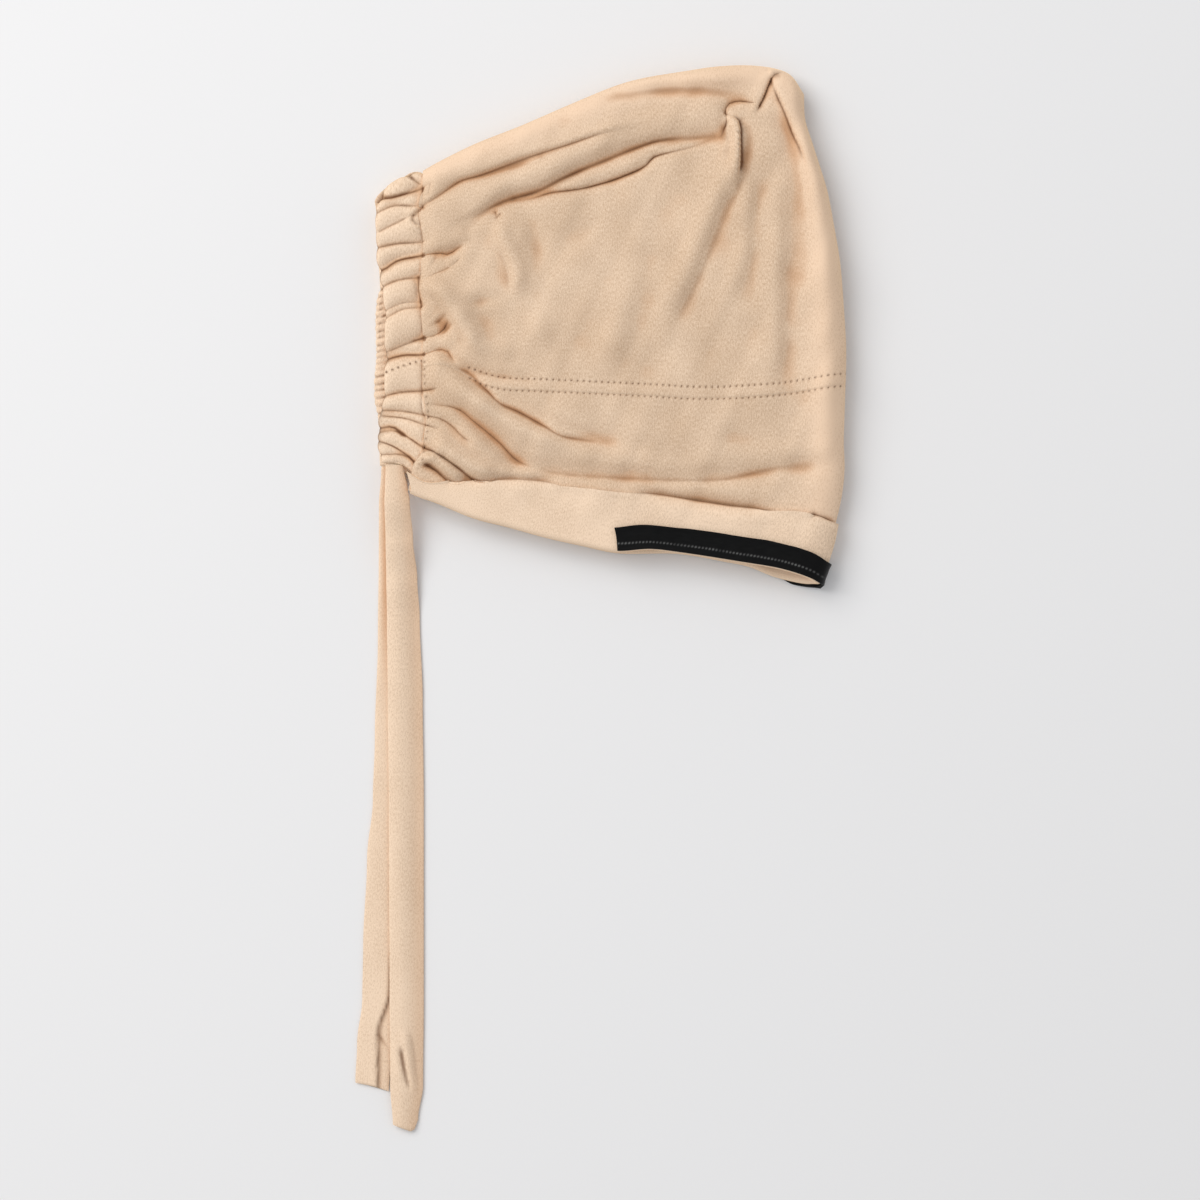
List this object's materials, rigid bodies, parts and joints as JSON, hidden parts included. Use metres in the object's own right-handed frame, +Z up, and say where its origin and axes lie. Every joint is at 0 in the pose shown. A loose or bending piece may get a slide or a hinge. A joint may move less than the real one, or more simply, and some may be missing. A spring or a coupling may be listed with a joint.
{
  "type": "turban cap",
  "caption": "Jersey turban undercap lying on its side, with a gathered back casing and two ties, a knotted crown, a front hem turned up outside and a grip strip along it.",
  "frame": {"origin": "on the surface that the cap lies on, under the middle of the whole cap and its ties", "axes": "+Y from the ties' free ends towards the top of the crown, +X from the back casing towards the front fold, +Z up from the surface to the near half"},
  "size_m": [0.2262, 0.4914, 0.0195],
  "materials": {
    "jersey": "matt brushed cotton and modal jersey, fine knit",
    "grip": "satin black no-slip tape"
  },
  "bodies": {
    "root": {"crown": "jersey", "front_panel": "jersey", "turned_cuff": "jersey", "grip_strip": "grip", "back_casing": "jersey", "near_tie": "jersey", "far_tie": "jersey"}
  },
  "joints": []
}
